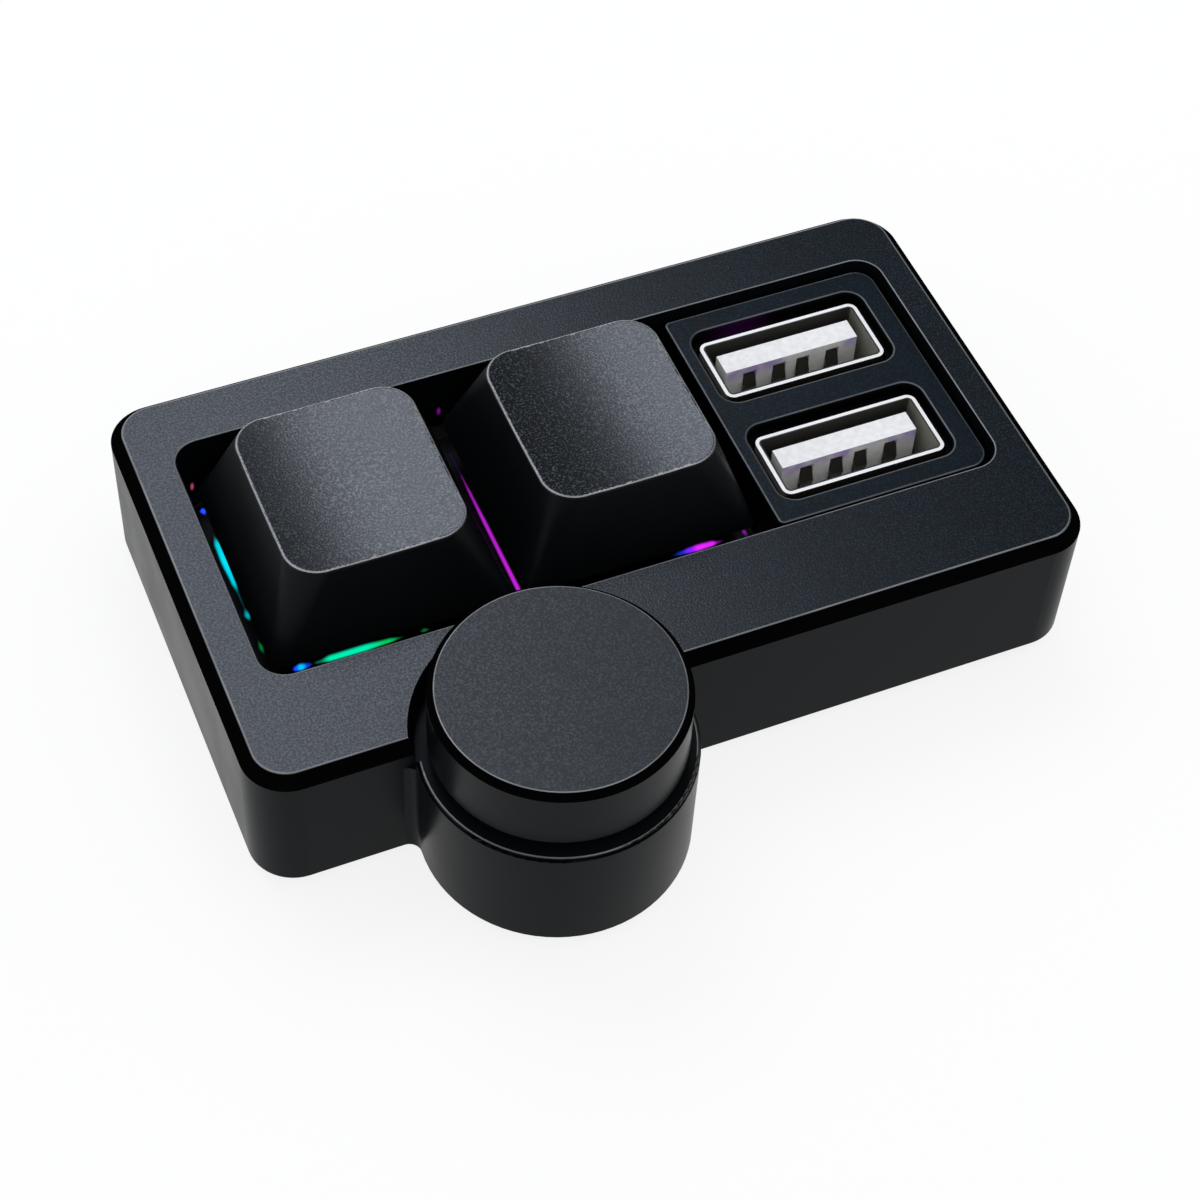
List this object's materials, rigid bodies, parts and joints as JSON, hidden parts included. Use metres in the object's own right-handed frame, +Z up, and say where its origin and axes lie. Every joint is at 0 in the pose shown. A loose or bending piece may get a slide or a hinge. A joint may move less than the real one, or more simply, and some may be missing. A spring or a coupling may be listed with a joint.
{
  "type": "macro keypad",
  "caption": "Low desk keypad with sunken tapered keys lit from below, a push-and-turn knob on a round front boss and a sunken hub panel with upright USB-A sockets.",
  "frame": {"origin": "centre of the footprint on the desk, under the rubber feet", "axes": "+X to the right along the case, +Y towards the back wall with the cable inlet, +Z up"},
  "size_m": [0.064, 0.0482, 0.0174],
  "materials": {
    "case_plastic": "fine-grained satin, dark grey",
    "cover_plastic": "fine-grained matt, near black",
    "screw_steel": "blackened",
    "insert_brass": "knurled",
    "foot_rubber": "matt",
    "board_laminate": "solder mask",
    "chip_plastic": "moulded",
    "crystal_can": "drawn can",
    "passive_ceramic": "ceramic",
    "led_plastic": "diffusing",
    "spacer_nylon": "turned nylon",
    "plate_metal": "black powder coat",
    "light_guide": "lit in several colours",
    "panel_plastic": "satin, dark blue-grey",
    "socket_shell": "nickel plated sheet",
    "socket_tongue": "white moulded",
    "socket_contacts": "dull plated strip",
    "inlet_tongue": "black moulded",
    "encoder_plastic": "moulded",
    "encoder_metal": "pressed sheet",
    "contact_metal": "strip",
    "spring_steel": "bright",
    "plunger_plastic": "moulded",
    "shaft_metal": "turned",
    "knob_finish": "fine-grained satin, dark grey",
    "switch_housing": "moulded",
    "stem_plastic": "moulded",
    "keycap_plastic": "fine-grained satin top, smooth dark sides"
  },
  "bodies": {
    "case": {"top_case": "case_plastic", "bottom_cover": "cover_plastic", "cover_screws": "screw_steel", "threaded_inserts": "insert_brass", "rubber_feet": "foot_rubber", "main_board": "board_laminate", "controller_chip": "chip_plastic", "hub_chip": "chip_plastic", "crystal": "crystal_can", "passive_parts": "passive_ceramic", "rgb_leds": "led_plastic", "plate_spacers": "spacer_nylon", "switch_plate": "plate_metal", "light_guide": "light_guide", "hub_panel": "panel_plastic", "usb_c_shell": "socket_shell", "usb_c_tongue": "inlet_tongue", "encoder_base": "encoder_plastic", "encoder_frame": "encoder_metal", "encoder_pins": "contact_metal", "encoder_dome": "spring_steel", "left_switch_base": "switch_housing", "left_switch_cover": "switch_housing", "left_switch_contacts": "contact_metal", "left_switch_spring": "spring_steel", "right_switch_base": "switch_housing", "right_switch_cover": "switch_housing", "right_switch_contacts": "contact_metal", "right_switch_spring": "spring_steel", "front_usb_shell": "socket_shell", "front_usb_tongue": "socket_tongue", "front_usb_contacts": "socket_contacts", "rear_usb_shell": "socket_shell", "rear_usb_tongue": "socket_tongue", "rear_usb_contacts": "socket_contacts"},
    "left_key": {"left_keycap": "keycap_plastic", "left_switch_stem": "stem_plastic"},
    "right_key": {"right_keycap": "keycap_plastic", "right_switch_stem": "stem_plastic"},
    "knob_push": {"encoder_plunger": "plunger_plastic"},
    "knob": {"knob": "knob_finish", "encoder_shaft": "shaft_metal"}
  },
  "joints": [
    {"name": "left_key_press", "type": "slide", "parent": "case", "child": "left_key", "axis": [0, 0, -1], "range_m": [0, 0.0028], "stiffness_N_per_m": 125, "springref_m": -0.002, "deforming": ["left_switch_spring"]},
    {"name": "right_key_press", "type": "slide", "parent": "case", "child": "right_key", "axis": [0, 0, -1], "range_m": [0, 0.0028], "stiffness_N_per_m": 125, "springref_m": -0.002, "deforming": ["right_switch_spring"]},
    {"name": "knob_press", "type": "slide", "parent": "case", "child": "knob_push", "axis": [0, 0, -1], "range_m": [0, 0.0005], "stiffness_N_per_m": 1200, "springref_m": -0.001, "deforming": ["encoder_dome"]},
    {"name": "knob_turn", "type": "hinge", "parent": "knob_push", "child": "knob", "pos_m": [-0.01095, -0.01427, 0], "axis": [0, 0, 1], "continuous": true}
  ]
}
